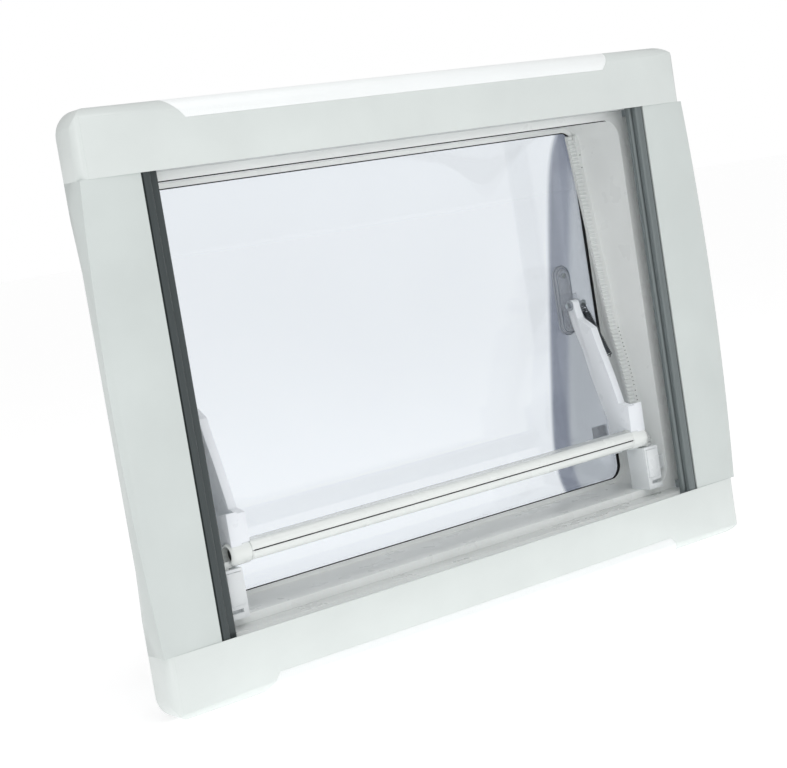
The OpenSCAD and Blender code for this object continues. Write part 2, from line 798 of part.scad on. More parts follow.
// Lower half, with the groove that the seam shows
module bar_lower() {
    color("#dde3e1") difference() {
        along_x(-hub_in, hub_in) bar_section();
        block([-inf, bar_front_y - 1, bar_z], [inf, bar_front_y + bar_d + 1, bar_z + bar_h]);
        block([-inf, bar_front_y - 1, bar_z - seam_t], [inf, bar_front_y + seam_deep, bar_z + 1]);
    }
}

module bar_upper() {
    color("#e2e8e6") difference() {
        along_x(-hub_in, hub_in) bar_section();
        block([-inf, bar_front_y - 1, bar_z - bar_h], [inf, bar_front_y + bar_d + 1, bar_z]);
    }
}

// Collar that takes the end of the bar, with a rounded end and a tongue for the lock
module hub() {
    color("#d1dbdc") difference() {
        union() {
            rod_x(hub_in, hub_out, bar_y, bar_z, hub_r);
            translate([hub_out, bar_y, bar_z]) rotate([0, 90, 0]) difference() {
                scale([1, 1, 0.6]) sphere(hub_r);
                translate([0, 0, -20]) cube(40, center = true);
            }
            block([hub_out - 2, bar_y - 3, lock_top + 0.8], [tongue_out, bar_y + 3, bar_z - 6]);
            block([tongue_in, bar_y - 3, bar_z - 21.5], [tongue_out, bar_y + 3, bar_z - 6]);
        }
        rod_x(hub_in - 1, hub_in + 1.5, bar_y, bar_z, 4);
    }
}
module left_hub() { side(-1) hub(); }
module right_hub() { side(1) hub(); }

module pinion_axles() {
    color("#85898c")
    for (s = [-1, 1]) side(s) rod_x(arm_in, pinion_out + 2, axle_y, axle_z, axle_r);
}

module pinion() {
    color("#aeb3b6") difference() {
        along_x(pinion_in, pinion_out) translate([axle_y, axle_z]) union() {
            circle(pinion_root_r);
            for (i = [0 : pinion_teeth - 1]) rotate(i * 360 / pinion_teeth)
                polygon([[0, -1.9], [pinion_root_r, -1.6], [pinion_tip_r - 0.1, -0.7],
                         [pinion_tip_r - 0.1, 0.7], [pinion_root_r, 1.6], [0, 1.9]]);
        }
        rod_x(pinion_in - 1, pinion_out + 1, axle_y, axle_z, axle_r + 0.05);
    }
}
module left_pinion() { side(-1) pinion(); }
module right_pinion() { side(1) pinion(); }

trim_top_bar();
trim_bottom_bar();
trim_left_bar();
trim_right_bar();
top_light_diffuser();
bottom_light_diffuser();
top_light_strip();
bottom_light_strip();
power_inlet();
corner_brackets();
reveal_frame();
outer_frame();
dome_seal();
frame_clamps();
clamp_screws();
hinge_brackets();
hinge_pins();
left_rack();
right_rack();
top_blind_guide();
bottom_blind_guide();
left_landing_profile();
right_landing_profile();
blackout_anchor();
screen_anchor();
blackout_fabric();
screen_fabric();
blackout_rail();
screen_rail();
left_lock_housing();
right_lock_housing();
left_lock_button();
right_lock_button();
left_button_spring();
right_button_spring();
housing_screws();
outer_pane();
inner_pane();
hinge_leaves();
left_dome_mount();
right_dome_mount();
mount_screws();
dome_keepers();
left_arm();
right_arm();
pivot_pins();
left_arm_spring();
right_arm_spring();
bar_upper();
bar_lower();
left_hub();
right_hub();
pinion_axles();
left_pinion();
right_pinion();
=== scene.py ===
# %% [markdown]
# # A roof window that opens on a folding bar
#
# This window sits in a caravan roof. A white trim frames it on the room side, a
# double acrylic dome closes it on the outside, and a bar across the bottom pushes
# the dome open on two arms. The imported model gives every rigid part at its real
# size and place. This lesson gives those parts their finish: soft moulded edges,
# clear plastic, anodised rails, pleated cloth and glowing light covers.

# %% Load the frame
import json
import math

import bmesh
import bpy
from mathutils import Matrix, Vector

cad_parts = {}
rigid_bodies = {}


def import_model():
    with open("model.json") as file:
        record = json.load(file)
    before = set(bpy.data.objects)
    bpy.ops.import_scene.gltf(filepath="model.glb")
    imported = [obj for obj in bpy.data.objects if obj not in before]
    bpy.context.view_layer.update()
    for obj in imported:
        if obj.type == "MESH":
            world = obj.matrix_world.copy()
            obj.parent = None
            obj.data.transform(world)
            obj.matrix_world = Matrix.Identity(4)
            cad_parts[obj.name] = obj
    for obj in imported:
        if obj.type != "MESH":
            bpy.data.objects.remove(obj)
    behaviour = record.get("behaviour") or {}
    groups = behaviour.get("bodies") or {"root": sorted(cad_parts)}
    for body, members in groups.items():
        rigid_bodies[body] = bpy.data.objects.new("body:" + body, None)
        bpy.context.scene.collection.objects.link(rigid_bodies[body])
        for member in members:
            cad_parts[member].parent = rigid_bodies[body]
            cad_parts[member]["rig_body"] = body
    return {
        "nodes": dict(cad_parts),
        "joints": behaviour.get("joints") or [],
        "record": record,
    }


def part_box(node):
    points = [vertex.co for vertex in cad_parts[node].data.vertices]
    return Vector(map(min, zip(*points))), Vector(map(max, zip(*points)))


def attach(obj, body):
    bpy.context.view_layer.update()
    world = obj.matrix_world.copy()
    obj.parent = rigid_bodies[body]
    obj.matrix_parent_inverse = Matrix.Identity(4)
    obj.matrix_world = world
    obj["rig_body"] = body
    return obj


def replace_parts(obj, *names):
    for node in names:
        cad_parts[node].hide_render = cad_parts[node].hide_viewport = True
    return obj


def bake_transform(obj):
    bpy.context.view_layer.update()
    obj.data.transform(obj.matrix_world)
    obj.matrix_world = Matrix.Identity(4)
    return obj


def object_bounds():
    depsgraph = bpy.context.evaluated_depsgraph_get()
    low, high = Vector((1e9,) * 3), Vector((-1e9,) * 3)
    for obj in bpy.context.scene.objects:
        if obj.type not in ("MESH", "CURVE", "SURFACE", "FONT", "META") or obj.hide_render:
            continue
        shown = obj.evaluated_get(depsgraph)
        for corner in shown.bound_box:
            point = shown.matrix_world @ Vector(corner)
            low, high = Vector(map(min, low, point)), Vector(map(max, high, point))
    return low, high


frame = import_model()
cad_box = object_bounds()
SLOT_OF = {part["node"]: part["material_slot"] for part in frame["record"]["subparts"]}
BODY_OF = {name: node["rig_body"] for name, node in frame["nodes"].items()}
MM = 0.001

# %% [markdown]
# ## The camera
#
# The window is seen leaning a little, so the camera is rolled and the window
# stays upright in its own frame. A camera can be placed by typing its matrix, but
# five plain values are easier to read: the point it looks at, its distance, the
# two angles around that point and the roll about its own axis.

# %% Place the camera
AIM = Vector((-0.0729, -0.060, -0.0245))
DISTANCE = 1.8457
AZIMUTH = -35.73
ELEVATION = 5.78
ROLL = 9.16
LENS = 79.0


def look_from(azimuth, elevation):
    """Unit vector from the aim point to a viewer at these angles."""
    turn, rise = math.radians(azimuth), math.radians(elevation)
    return Vector((math.sin(turn) * math.cos(rise), -math.cos(turn) * math.cos(rise), math.sin(rise)))


back = look_from(AZIMUTH, ELEVATION)
level = Vector((0, 0, 1)).cross(back).normalized()
right = Matrix.Rotation(math.radians(-ROLL), 3, back) @ level
camera = bpy.data.objects.new("camera", bpy.data.cameras.new("camera"))
bpy.context.scene.collection.objects.link(camera)
camera.matrix_world = Matrix.Translation(AIM + back * DISTANCE) @ Matrix(
    (right, back.cross(right), back)).transposed().to_4x4()
camera.data.lens = LENS
camera.data.clip_start = 0.05
bpy.context.scene.camera = camera
print("camera at", [round(v, 3) for v in camera.matrix_world.translation])

# %% [markdown]
# ## Small tools for materials
#
# Every finish here starts from the Principled shader. What makes a surface look
# real is the small change across it: a grain that catches the light, a colour that
# isn't quite even, a gloss that varies. All of that can be worked out from the
# place of each point, so no image files are needed, and every helper takes its
# sizes in metres.

# %% Helpers for material nodes


def feed(tree, output, shader, socket):
    """Joins a node's output to one of the shader's sockets."""
    tree.links.new(output, shader.inputs[socket])


def colour(text):
    """Turns a colour written as six hex digits into the linear values that a shader wants."""
    def linear(v):
        return v / 12.92 if v <= 0.04045 else ((v + 0.055) / 1.055) ** 2.4
    return tuple(linear(int(text[i:i + 2], 16) / 255) for i in (0, 2, 4)) + (1.0,)


def new_material(name, base, roughness, **sockets):
    """A material with its shader's plain values set; returns it with its tree and shader."""
    made = bpy.data.materials.new(name)
    made.use_nodes = True
    shader = made.node_tree.nodes["Principled BSDF"]
    shader.inputs["Base Color"].default_value = colour(base)
    shader.inputs["Roughness"].default_value = roughness
    for socket, value in sockets.items():
        shader.inputs[socket.replace("_", " ")].default_value = value
    made.diffuse_color = colour(base)
    return made, made.node_tree, shader


def place(tree, stretch=(1, 1, 1)):
    """Position in metres, stretched along each axis, as a socket that a texture can use."""
    where = tree.nodes.new("ShaderNodeTexCoord")
    scaled = tree.nodes.new("ShaderNodeMapping")
    scaled.inputs["Scale"].default_value = stretch
    tree.links.new(where.outputs["Object"], scaled.inputs["Vector"])
    return scaled.outputs["Vector"]


def noise(tree, size, stretch=(1, 1, 1), detail=3.0):
    """Cloudy pattern whose lumps are about size metres across."""
    made = tree.nodes.new("ShaderNodeTexNoise")
    made.inputs["Scale"].default_value = 1 / size
    made.inputs["Detail"].default_value = detail
    tree.links.new(place(tree, stretch), made.inputs["Vector"])
    return made.outputs["Fac"]


def ramp(tree, fac, low, high, start=0.3, end=0.7):
    """Colours between low and high as fac goes from start to end."""
    made = tree.nodes.new("ShaderNodeValToRGB")
    made.color_ramp.elements[0].position = start
    made.color_ramp.elements[1].position = end
    made.color_ramp.elements[0].color = low
    made.color_ramp.elements[1].color = high
    tree.links.new(fac, made.inputs["Fac"])
    return made.outputs["Color"]


def spread(tree, fac, low, high):
    """Numbers between low and high as fac goes from 0.3 to 0.7."""
    made = tree.nodes.new("ShaderNodeMapRange")
    made.inputs["From Min"].default_value = 0.3
    made.inputs["From Max"].default_value = 0.7
    made.inputs["To Min"].default_value = low
    made.inputs["To Max"].default_value = high
    tree.links.new(fac, made.inputs["Value"])
    return made.outputs["Result"]


def bump(tree, shader, height, depth, strength=1.0):
    """Lets a height pattern catch the light, depth metres deep."""
    made = tree.nodes.new("ShaderNodeBump")
    made.inputs["Distance"].default_value = depth
    made.inputs["Strength"].default_value = strength
    tree.links.new(height, made.inputs["Height"])
    tree.links.new(made.outputs["Normal"], shader.inputs["Normal"])


def tint(base, factor):
    """A colour a little lighter or darker than base."""
    return tuple(min(1.0, v * factor) for v in colour(base)[:3]) + (1.0,)


MATERIALS = {}

# %% [markdown]
# ## Moulded plastic
#
# The trims, the reveal, the arms and the locks are injection moulded. New plastic
# has a very fine spark-eroded grain, a faint cloudiness in its colour and a gloss
# that is a little higher on rubbed edges. One function makes them all, and each
# part only chooses its colour, its gloss and how deep its grain is.

# %% Moulded plastic finishes


def moulded(name, base, roughness=0.36, grain=0.0007, depth=0.000012, cloud=0.03, coat=0.0):
    made, tree, shader = new_material(name, base, roughness, IOR=1.5, Coat_Weight=coat, Coat_Roughness=0.08)
    cloudy = noise(tree, 0.09, detail=4.0)
    body = ramp(tree, cloudy, tint(base, 1 - cloud), tint(base, 1 + cloud))
    tree.links.new(body, shader.inputs["Base Color"])
    feed(tree, spread(tree, noise(tree, 0.03), roughness - 0.05, roughness + 0.06), shader, "Roughness")
    bump(tree, shader, noise(tree, grain, detail=2.0), depth)
    MATERIALS[name] = made
    return made


# The three trim finishes are one white plastic: the side bars' darker copy is painted shade and the bottom
# bar's lighter copy is painted light.
moulded("trim_white", "d9dfdd", 0.34, coat=0.15)
moulded("trim_side_painted_shade", "d1d8d6", 0.36, coat=0.12)
moulded("trim_bottom", "e4eae8", 0.33, coat=0.15)
# The top guide faces down, and its greyer copy of the white plastic is painted shade.
moulded("guide_painted_shade", "cdd1d2", 0.38)
# This dark grey is painted shade for the rims of the clear mounts.
moulded("mount_line", "7b828c", 0.3)
moulded("reveal_white", "ecefee", 0.30, coat=0.2)
moulded("outer_frame_grey", "d2d6d7", 0.5, grain=0.0015, depth=0.00003)
moulded("rack_grey", "e6e9e8", 0.34, grain=0.0005)
moulded("lock_white", "e6eaec", 0.24, coat=0.3)
moulded("arm_white", "f0f4f9", 0.30, coat=0.2)
moulded("bar_white", "eef2f0", 0.24, coat=0.3)
moulded("black_moulding", "1f2122", 0.42, grain=0.0012, depth=0.00003)
print("moulded finishes:", sorted(MATERIALS))

# %% [markdown]
# ## Metal, rubber and springs
#
# The blind rails are dark anodised aluminium, drawn through a die, so their fine
# lines run along their length. The brackets are zinc-plated steel with a faint
# spangle. Brushed lines come from a noise that is stretched hard along one axis.

# %% Metal and rubber finishes


def drawn_metal(name, base, roughness, along=(1, 1, 0.01), line=0.0006, depth=0.000008, metallic=1.0):
    made, tree, shader = new_material(name, base, roughness, Metallic=metallic)
    lines = noise(tree, line, stretch=along, detail=4.0)
    tree.links.new(ramp(tree, lines, tint(base, 0.88), tint(base, 1.1)), shader.inputs["Base Color"])
    tree.links.new(spread(tree, lines, roughness - 0.06, roughness + 0.08), shader.inputs["Roughness"])
    bump(tree, shader, lines, depth)
    MATERIALS[name] = made


def spangled_metal(name, base, roughness, spangle=0.006):
    made, tree, shader = new_material(name, base, roughness, Metallic=0.9)
    cells = tree.nodes.new("ShaderNodeTexVoronoi")
    cells.inputs["Scale"].default_value = 1 / spangle
    tree.links.new(place(tree), cells.inputs["Vector"])
    grey = tree.nodes.new("ShaderNodeRGBToBW")
    tree.links.new(cells.outputs["Color"], grey.inputs["Color"])
    feed(tree, ramp(tree, grey.outputs["Val"], tint(base, 0.9), tint(base, 1.1)), shader, "Base Color")
    feed(tree, spread(tree, grey.outputs["Val"], roughness - 0.06, roughness + 0.08), shader, "Roughness")
    bump(tree, shader, noise(tree, 0.0008), 0.000008)
    MATERIALS[name] = made


def rubber(name, base):
    made, tree, shader = new_material(name, base, 0.62, IOR=1.48)
    speck = noise(tree, 0.0006, detail=2.0)
    feed(tree, ramp(tree, noise(tree, 0.03), tint(base, 0.8), tint(base, 1.5)), shader, "Base Color")
    tree.links.new(spread(tree, speck, 0.52, 0.72), shader.inputs["Roughness"])
    bump(tree, shader, speck, 0.00003)
    MATERIALS[name] = made


drawn_metal("dark_rail", "444b4c", 0.34, metallic=0.35)
# This is the dark rail's finish made lighter: painted light on the right-hand rails, which face the light.
drawn_metal("rail_painted_light", "737b7c", 0.34, metallic=0.35)
drawn_metal("anchor_aluminium", "b9bec1", 0.36)
drawn_metal("spring_steel", "5a5e62", 0.3, along=(1, 1, 1), line=0.0004)
spangled_metal("zinc_steel", "aeb4b8", 0.36)
rubber("black_rubber", "101113")
print("all finishes so far:", len(MATERIALS))

# %% [markdown]
# ## Clear acrylic
#
# The dome, its inner pane and the small pivot mounts are clear. A see-through
# shader bends light like the real sheet, so the edges turn dark by themselves. The small
# mounts are see-through without bending, so their darker edges are painted shade. A
# touch of grey-blue in the colour stands for the depth of the sheet, and a faint
# unevenness in the gloss keeps it from looking like air.

# %% Clear finishes


def clear(name, base, roughness=0.01, waver=0.00004, wave_size=0.25):
    made, tree, shader = new_material(name, base, roughness, IOR=1.49, Transmission_Weight=1.0)
    shine = noise(tree, 0.05)
    tree.links.new(spread(tree, shine, roughness * 0.4, roughness * 1.8), shader.inputs["Roughness"])
    feed(tree, ramp(tree, noise(tree, 0.2), tint(base, 0.985), tint(base, 1.01)), shader, "Base Color")
    bump(tree, shader, noise(tree, wave_size, detail=1.0), waver)
    MATERIALS[name] = made


def clear_moulding(name, base, edge):
    """Small clear parts: you look through their faces, and their edges are painted darker lines, as painted
    shade.
    """
    made, tree, shader = new_material(name, base, 0.08, IOR=1.49, Coat_Weight=0.4)
    facing = tree.nodes.new("ShaderNodeLayerWeight")
    facing.inputs["Blend"].default_value = 0.35
    rim = facing.outputs["Facing"]
    tree.links.new(ramp(tree, rim, tint(base, 1.0), colour(edge), 0.15, 0.75), shader.inputs["Base Color"])
    tree.links.new(spread(tree, rim, 0.22, 0.8), shader.inputs["Alpha"])
    bump(tree, shader, noise(tree, 0.004), 0.00003)
    MATERIALS[name] = made


clear("clear_acrylic", "f4f7fa")
# The mounts' edge colour 6d7480 is painted shade.
clear_moulding("clear_mount", "b9c0ca", "6d7480")
print("clear finishes added")

# %% [markdown]
# ## Lights
#
# Behind each rounded outer edge of the top and bottom trims sits a strip of light
# chips, and a ribbed white cover spreads their light. The cover glows evenly, and
# fine ribs run across it, so its glow is worked out from a wave along the window.

# %% Light cover and circuit strip


def glowing(name, base, strength, rib=0.0024):
    made, tree, shader = new_material(name, base, 0.28, Emission_Color=colour("fffefb"))
    ribs = tree.nodes.new("ShaderNodeTexWave")
    ribs.bands_direction = "X"
    ribs.inputs["Scale"].default_value = 0.314 / rib
    tree.links.new(place(tree), ribs.inputs["Vector"])
    feed(tree, spread(tree, ribs.outputs["Fac"], strength * 0.93, strength), shader, "Emission Strength")
    feed(tree, ramp(tree, noise(tree, 0.06), tint(base, 0.97), tint(base, 1.0)), shader, "Base Color")
    bump(tree, shader, ribs.outputs["Fac"], 0.00012)
    MATERIALS[name] = made


def circuit_strip(name, base):
    made, tree, shader = new_material(name, base, 0.5)
    feed(tree, ramp(tree, noise(tree, 0.01), tint(base, 0.92), tint(base, 1.04)), shader, "Base Color")
    bump(tree, shader, noise(tree, 0.0009), 0.00002)
    MATERIALS[name] = made


glowing("light_diffuser", "e2e6e7", 0.19)
circuit_strip("light_strip", "f0f1e6")
print("light finishes added")

# %% [markdown]
# ## Cloth for the blinds
#
# The blackout cloth is a tight plain weave with a soft sheen. The insect screen is
# an open net, so its threads are drawn by two crossing waves and the gaps between
# them are left clear.

# %% Cloth finishes


def thread_wave(tree, pitch, axis):
    """Rows of threads, pitch metres apart, stepping along the given axis."""
    made = tree.nodes.new("ShaderNodeTexWave")
    made.bands_direction = axis
    made.inputs["Scale"].default_value = 0.314 / pitch
    made.inputs["Distortion"].default_value = 0.15
    tree.links.new(place(tree), made.inputs["Vector"])
    return made.outputs["Fac"]


def join_threads(tree, first, second, how):
    made = tree.nodes.new("ShaderNodeMath")
    made.operation = how
    tree.links.new(first, made.inputs[0])
    tree.links.new(second, made.inputs[1])
    return made.outputs["Value"]


def woven(name, base, pitch, sheen, net=False):
    made, tree, shader = new_material(name, base, 0.85, Sheen_Weight=sheen, Sheen_Roughness=0.5)
    across, along = thread_wave(tree, pitch, "Z"), thread_wave(tree, pitch, "X")
    weave = join_threads(tree, across, along, "MAXIMUM" if net else "MULTIPLY")
    feed(tree, ramp(tree, weave, tint(base, 0.7), tint(base, 1.15), 0.1, 0.8), shader, "Base Color")
    bump(tree, shader, weave, 0.00008)
    if net:
        tree.links.new(ramp(tree, weave, (0, 0, 0, 1), (1, 1, 1, 1), 0.72, 0.8), shader.inputs["Alpha"])
    MATERIALS[name] = made


woven("blackout_cloth", "b9bdc0", 0.0006, 0.3)
woven("screen_mesh", "3c4043", 0.0014, 0.1, net=True)
print("finishes:", len(MATERIALS))

# %% [markdown]
# ## Soft edges for the moulded parts
#
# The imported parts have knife-sharp edges, and nothing real does. A bevel on the
# shader only fakes a rounder edge, so each part is copied, its flat faces are
# joined up again, and a true bevel is cut along every sharp edge. The copy then
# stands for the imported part. The width differs: a trim is rounder than a bracket.

# %% Make softened copies


def finish_mesh(obj, slot, angle=40):
    """Gives a piece the one material of its slot, and smooth shading."""
    obj.data.materials.clear()
    obj.data.materials.append(MATERIALS[slot])
    obj.data.polygons.foreach_set("use_smooth", [True] * len(obj.data.polygons))
    obj.data.set_sharp_from_angle(angle=math.radians(angle))
    return obj


def new_piece(name, mesh):
    """Puts a mesh in the scene as an object of that name."""
    obj = bpy.data.objects.new(name, mesh)
    bpy.context.scene.collection.objects.link(obj)
    return obj


def tidy_copy(node):
    """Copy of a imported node's mesh with doubled points joined and flat faces made whole."""
    mesh = frame["nodes"][node].data.copy()
    work = bmesh.new()
    work.from_mesh(mesh)
    bmesh.ops.remove_doubles(work, verts=work.verts, dist=0.000002)
    bmesh.ops.dissolve_limit(work, angle_limit=math.radians(0.6), verts=work.verts, edges=work.edges)
    work.to_mesh(mesh)
    work.free()
    return mesh


def apply_modifiers(obj):
    """Fixes the modifiers' result into the mesh, and drops them."""
    solved = obj.evaluated_get(bpy.context.evaluated_depsgraph_get())
    mesh = bpy.data.meshes.new_from_object(solved)
    obj.modifiers.clear()
    obj.data = mesh


def soften(node, width, segments=2, angle=32):
    """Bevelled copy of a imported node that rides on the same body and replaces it."""
    obj = new_piece(node + "_finished", tidy_copy(node))
    cut = obj.modifiers.new("edges", "BEVEL")
    cut.width = width
    cut.segments = segments
    cut.limit_method = "ANGLE"
    cut.angle_limit = math.radians(angle)
    cut.use_clamp_overlap = True
    cut.harden_normals = False
    apply_modifiers(obj)
    finish_mesh(obj, SLOT_OF[node])
    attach(obj, BODY_OF[node])
    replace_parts(obj, node)
    return obj


EDGE = {
    "trim_top_bar": 0.6, "trim_bottom_bar": 0.6, "trim_left_bar": 0.6, "trim_right_bar": 0.6,
    "top_light_diffuser": 0.5, "bottom_light_diffuser": 0.5,
    "reveal_frame": 0.7, "outer_frame": 0.8, "dome_seal": 0.8,
    "top_blind_guide": 0.3, "bottom_blind_guide": 0.3,
    "left_lock_housing": 0.7, "right_lock_housing": 0.7,
    "left_lock_button": 0.6, "right_lock_button": 0.6,
    "left_arm": 1.0, "right_arm": 1.0,
    "bar_upper": 0.25, "bar_lower": 0.25,
    "corner_brackets": 0.4, "frame_clamps": 0.4, "hinge_brackets": 0.5, "hinge_leaves": 0.4,
    "left_dome_mount": 0.5, "right_dome_mount": 0.5, "dome_keepers": 0.4,
    "power_inlet": 0.5, "mount_screws": 0.15, "clamp_screws": 0.3, "housing_screws": 0.3,
}
for node, width in EDGE.items():
    made = soften(node, width * MM)
print("softened copies:", len(EDGE))

# %% [markdown]
# ## The outer dome
#
# The dome is one sheet blown from flat acrylic: a flat rim, a steep side and a
# gently crowned face. It could be carved from a cube, but a formula is closer to the
# real thing. Its outline is a square with softened corners, and its height depends
# only on how far a point is from the middle. Past a bend line the side wall is painted
# greyer, with a darker band at the bend: painted shade, a plain change of colour with place, not a real haze.

# %% Grow the dome from its outline
PANE_T = 3 * MM
RIM_SHARE = 0.965
SQUARENESS = 9
CROWN_POWER = 7
INNER_SHARE = 0.988


def dome_outline(angle, half_w, half_h):
    """Point of a rounded square at an angle, for half sizes half_w and half_h."""
    c, s = math.cos(angle), math.sin(angle)
    power = 2 / SQUARENESS
    return math.copysign(half_w * abs(c) ** power, c), math.copysign(half_h * abs(s) ** power, s)


def crown(share, rise):
    """Height over the rim at a share of the way out from the middle."""
    return 0.0 if share > RIM_SHARE else rise * (1 - (share / RIM_SHARE) ** CROWN_POWER)


def ring_of_points(work, share, half_w, half_h, depth, steps):
    points = []
    for step in range(steps):
        x, z = dome_outline(math.tau * (step + 0.5) / steps, half_w * share, half_h * share)
        points.append(work.verts.new((x, depth, z)))
    return points


def join_rings(work, first, second):
    for i in range(len(first)):
        j = (i + 1) % len(first)
        work.faces.new((first[i], first[j], second[j], second[i]))


def build_dome(node, steps=256, rings=44):
    low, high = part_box(node)
    half_w, half_h = high.x, high.z
    rise = high.y - low.y - PANE_T
    work = bmesh.new()
    shares = [0.04 + (1 - 0.04) * (i / rings) ** 0.55 for i in range(rings + 1)]
    outside, inside = [], []
    for u in shares:
        depth = low.y + crown(u, rise)
        inner_share = u * (INNER_SHARE if u < RIM_SHARE else 1)
        outside.append(ring_of_points(work, u, half_w, half_h, low.y + PANE_T + crown(u, rise), steps))
        inside.append(ring_of_points(work, inner_share, half_w, half_h, depth, steps))
    for skin in (outside, inside):
        for first, second in zip(skin, skin[1:]):
            join_rings(work, first, second)
        work.faces.new(skin[0])
    join_rings(work, outside[-1], inside[-1])
    bmesh.ops.recalc_face_normals(work, faces=work.faces)
    mesh = bpy.data.meshes.new("outer_dome")
    work.to_mesh(mesh)
    work.free()
    dome = new_piece("outer_dome", mesh)
    finish_mesh(dome, SLOT_OF[node], angle=60)
    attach(dome, BODY_OF[node])
    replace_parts(dome, node)
    return dome


dome = build_dome("outer_pane")
print("dome faces:", len(dome.data.polygons))

# %% Paint shade on the dome's side wall
BEND_X = 294 * MM
BEND_SLOPE = 0.132


def shaded_sides(name, base, bend_shade, wall):
    """Clear sheet whose colour turns grey past a bend line that leans in towards the bottom: the grey is
    painted shade.
    """
    made, tree, shader = new_material(name, base, 0.012, IOR=1.49, Transmission_Weight=1.0)
    where = tree.nodes.new("ShaderNodeSeparateXYZ")
    tree.links.new(place(tree), where.inputs["Vector"])
    width = tree.nodes.new("ShaderNodeMath")
    width.operation = "ABSOLUTE"
    tree.links.new(where.outputs["X"], width.inputs[0])
    lean = tree.nodes.new("ShaderNodeMath")
    lean.operation = "MULTIPLY_ADD"
    lean.inputs[1].default_value = -BEND_SLOPE
    tree.links.new(where.outputs["Z"], lean.inputs[0])
    tree.links.new(width.outputs["Value"], lean.inputs[2])
    past = tree.nodes.new("ShaderNodeMapRange")
    past.inputs["From Min"].default_value = BEND_X - 0.02
    past.inputs["From Max"].default_value = BEND_X + 0.03
    tree.links.new(lean.outputs["Value"], past.inputs["Value"])
    shade = tree.nodes.new("ShaderNodeValToRGB")
    stops = shade.color_ramp.elements
    stops[0].position, stops[0].color = 0.2, colour(base)
    stops[1].position, stops[1].color = 0.75, colour(wall)
    for position, tone in ((0.28, bend_shade), (0.62, bend_shade)):
        stops.new(position).color = colour(tone)
    tree.links.new(past.outputs["Result"], shade.inputs["Fac"])
    tree.links.new(shade.outputs["Color"], shader.inputs["Base Color"])
    tree.links.new(spread(tree, noise(tree, 0.05), 0.006, 0.02), shader.inputs["Roughness"])
    bump(tree, shader, noise(tree, 0.25, detail=1.0), 0.00005)
    return made


# 8b909c is the painted shade band at the bend and b4b8bd the painted shade on the side wall.
dome.data.materials[0] = shaded_sides("dome_acrylic", "f4f6f8", "8b909c", "b4b8bd")
print("dome finish:", dome.data.materials[0].name)

# %% [markdown]
# ## The bar's end collars
#
# The collars on the bar's ends are turned shapes, so they are drawn as a half
# outline and spun about the bar's axis, which is what a lathe does. The outer end is
# hollow and dark: a black insert turned inside it is painted shade for the hollow. A small tongue under it
# drops into the lock.

# %% Turn the collars


def lathe(work, outline, axis_y, axis_z, steps=64):
    """Spins (x, radius) points about a line along X."""
    loops = []
    for x, radius in outline:
        turns = [math.tau * i / steps for i in range(steps)]
        loops.append([work.verts.new((x, axis_y + radius * math.cos(turn), axis_z + radius * math.sin(turn)))
                      for turn in turns])
    for first, second in zip(loops, loops[1:]):
        join_rings(work, first, second)
    work.faces.new(loops[0])
    work.faces.new(loops[-1])


def beveled_block(work, low, high, width=0.6 * MM):
    made = bmesh.ops.create_cube(work, size=1)["verts"]
    middle, size = (Vector(low) + Vector(high)) / 2, Vector(high) - Vector(low)
    for vert in made:
        vert.co = middle + Vector(a * b for a, b in zip(vert.co, size))
    edges = list({edge for vert in made for edge in vert.link_edges})
    bmesh.ops.bevel(work, geom=edges, offset=width, segments=2, affect="EDGES", profile=0.7)


def mesh_piece(name, work, slot, body, angle=40):
    """Turns finished bmesh work into a piece with its finish, riding on a body."""
    bmesh.ops.recalc_face_normals(work, faces=work.faces)
    mesh = bpy.data.meshes.new(name)
    work.to_mesh(mesh)
    work.free()
    obj = finish_mesh(new_piece(name, mesh), slot, angle)
    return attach(obj, body)


def build_collar(side_name, sign):
    node = side_name + "_hub"
    bar_low, bar_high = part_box("bar_upper")
    low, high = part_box(node)
    axis_y = (bar_low.y + bar_high.y) / 2
    axis_z = bar_low.z
    start = bar_high.x
    radius = high.z - axis_z
    tip = start + 24.5 * MM
    rim = radius - 3.4 * MM
    outline = [(start, radius - 1.6 * MM), (start + 0.5 * MM, radius - 0.5 * MM), (start + 1.6 * MM, radius),
               (tip - 6 * MM, radius), (tip - 3 * MM, radius - 0.4 * MM), (tip - 0.8 * MM, radius - 1.7 * MM),
               (tip, radius - 2.8 * MM), (tip - 0.2 * MM, rim), (tip - 1.2 * MM, rim - 0.3 * MM),
               (tip - 7 * MM, rim - 0.6 * MM)]
    work = bmesh.new()
    lathe(work, outline, axis_y, axis_z)
    tongue_x = max(abs(low.x), abs(high.x))
    beveled_block(work, (tongue_x - 9 * MM, axis_y - 3 * MM, axis_z - 12.6 * MM),
                  (tongue_x, axis_y + 3 * MM, axis_z - 6 * MM))
    beveled_block(work, (tongue_x - 4 * MM, axis_y - 3 * MM, low.z),
                  (tongue_x, axis_y + 3 * MM, axis_z - 12 * MM))
    # The black socket inside the hollow end is painted shade.
    socket = bmesh.new()
    lathe(socket, [(tip - 7.4 * MM, rim - 0.8 * MM), (tip - 6.6 * MM, rim - 0.8 * MM),
                   (tip - 6.4 * MM, rim - 2 * MM),
                   (tip - 6.4 * MM, 2 * MM), (tip - 5.2 * MM, 1.6 * MM)], axis_y, axis_z, 48)
    for part in (work, socket):
        bmesh.ops.scale(part, vec=(sign, 1, 1), verts=part.verts)
    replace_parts(mesh_piece(node + "_turned", work, SLOT_OF[node], BODY_OF[node]), node)
    mesh_piece(node + "_shade_socket", socket, "black_moulding", BODY_OF[node])


for side_name, sign in (("left", -1), ("right", 1)):
    build_collar(side_name, sign)
print("collars turned")

# %% [markdown]
# ## Springs
#
# A light coil spring runs down the outboard side of each arm. A coil is easiest as
# a curve with a round section: a helix is two lines of trigonometry, and straight
# ends make the hooks that hold it on its pins.

